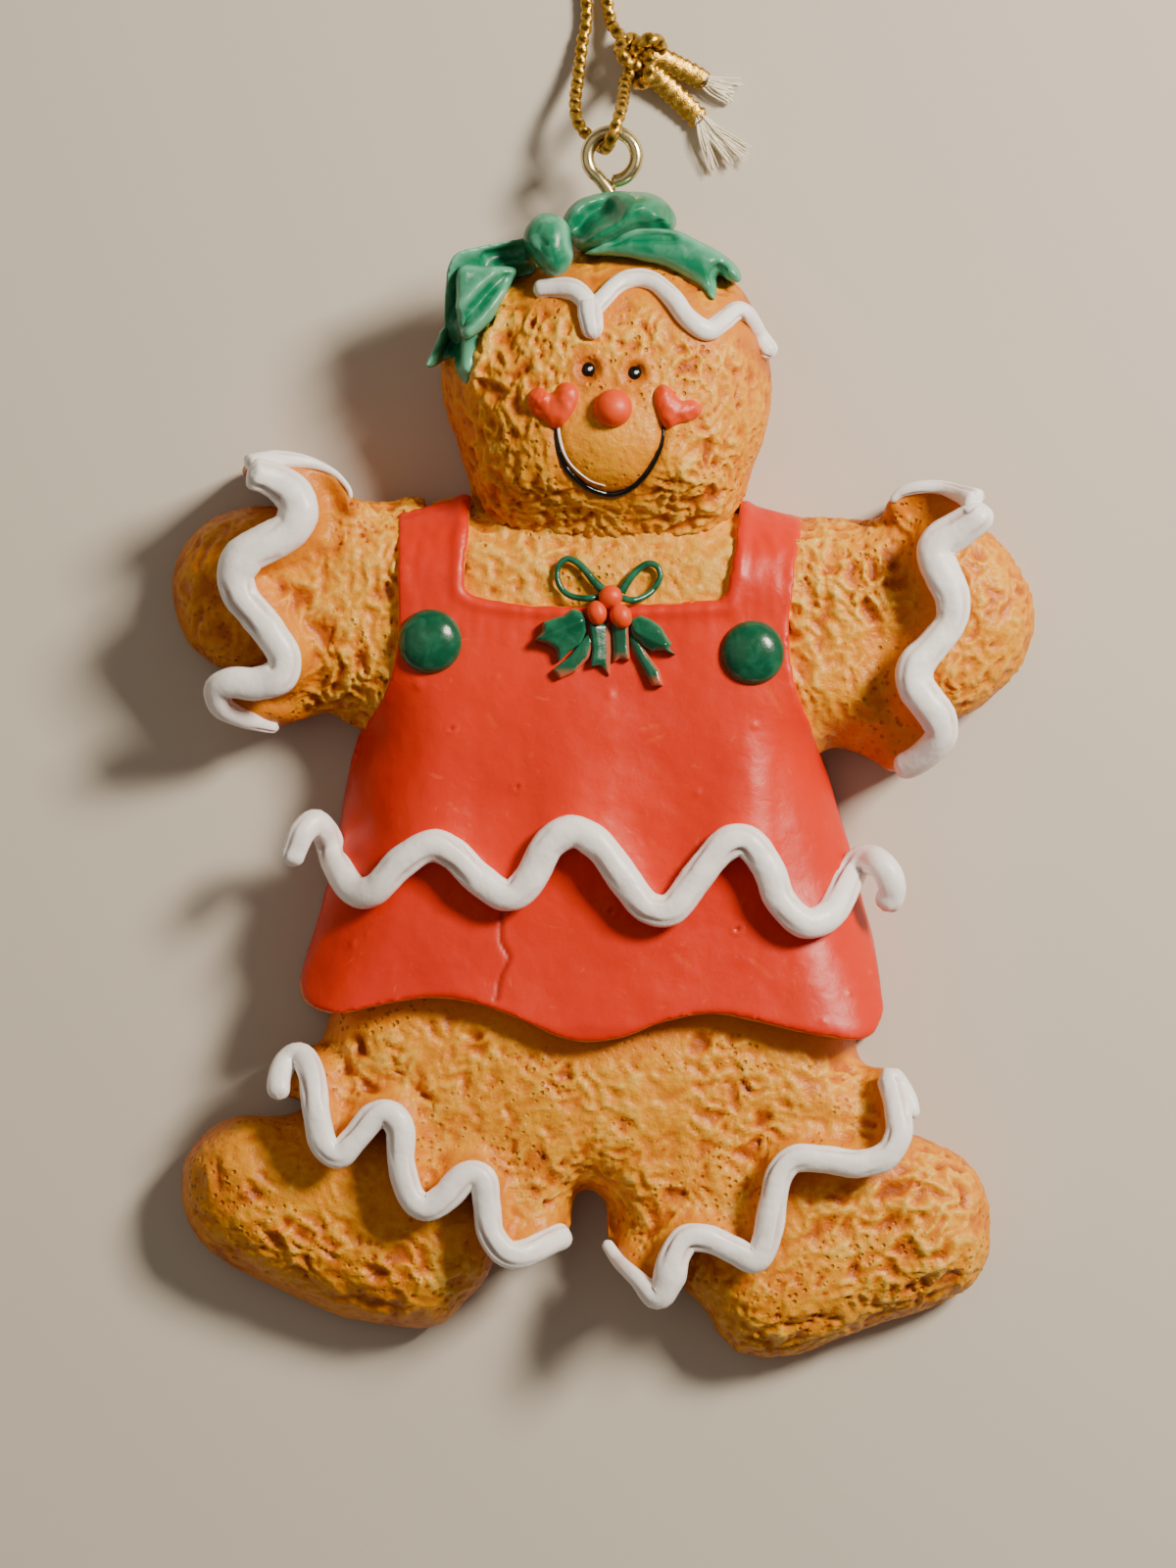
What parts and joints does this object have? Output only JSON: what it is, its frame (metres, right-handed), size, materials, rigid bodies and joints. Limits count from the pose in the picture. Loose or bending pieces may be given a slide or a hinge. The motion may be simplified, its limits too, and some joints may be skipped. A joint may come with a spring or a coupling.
{
  "type": "hanging Christmas ornament",
  "caption": "Flat-backed gingerbread-girl tree ornament in a pinafore dress with piped icing trim, a wire eye in its head and a knotted cord loop.",
  "frame": {"origin": "on the flat back, under the middle of the figure's outline without its cord", "axes": "+Z out of the painted front; +Y from the feet to the head and the hanging loop; +X to the right-hand side seen from the front"},
  "size_m": [0.0754, 0.1658, 0.017],
  "materials": {
    "gingerbread": "painted and colour-washed cast resin, pitted crust, satin",
    "red_enamel": "satin paint on smooth resin",
    "green_enamel": "gloss paint on smooth resin",
    "coral_enamel": "satin paint on smooth resin",
    "black_enamel": "gloss paint line",
    "white_icing": "satin white paint on piped beads",
    "brass_wire": "pale brass-plated wire",
    "gold_cord": "braided metallic yarn over white fibres"
  },
  "bodies": {
    "figure": {"bow_knot": "green_enamel", "bow_loop_left": "green_enamel", "bow_loop_top": "green_enamel", "bow_tail_left": "green_enamel", "bow_tail_right": "green_enamel", "brooch_berry_1": "coral_enamel", "brooch_berry_2": "coral_enamel", "brooch_berry_3": "coral_enamel", "brooch_leaf_left": "green_enamel", "brooch_leaf_right": "green_enamel", "brooch_loop_left": "green_enamel", "brooch_loop_right": "green_enamel", "brooch_tail_1": "green_enamel", "brooch_tail_2": "green_enamel", "brooch_tail_3": "green_enamel", "brooch_tail_4": "green_enamel", "button_left": "green_enamel", "button_right": "green_enamel", "cheek_left": "coral_enamel", "cheek_right": "coral_enamel", "dress": "red_enamel", "eye_left": "black_enamel", "eye_pin": "brass_wire", "eye_right": "black_enamel", "foot_left": "gingerbread", "foot_right": "gingerbread", "hand_left": "gingerbread", "hand_right": "gingerbread", "head": "gingerbread", "icing_forehead": "white_icing", "icing_leg_left": "white_icing", "icing_leg_right": "white_icing", "icing_skirt": "white_icing", "icing_sleeve_left": "white_icing", "icing_sleeve_right": "white_icing", "nose": "coral_enamel", "pantaloons": "gingerbread", "sleeve_left": "gingerbread", "sleeve_right": "gingerbread", "smile": "black_enamel", "torso": "gingerbread"},
    "hanging_loop": {"cord_loop": "gold_cord", "cord_knot": "gold_cord", "cord_tail_upper": "gold_cord", "cord_tail_lower": "gold_cord"}
  },
  "joints": [
    {"name": "loop_lift", "type": "hinge", "parent": "figure", "child": "hanging_loop", "pos_m": [0.0008, 0.05325, 0.007], "axis": [1, 0, 0], "range_deg": [0, 150]}
  ]
}
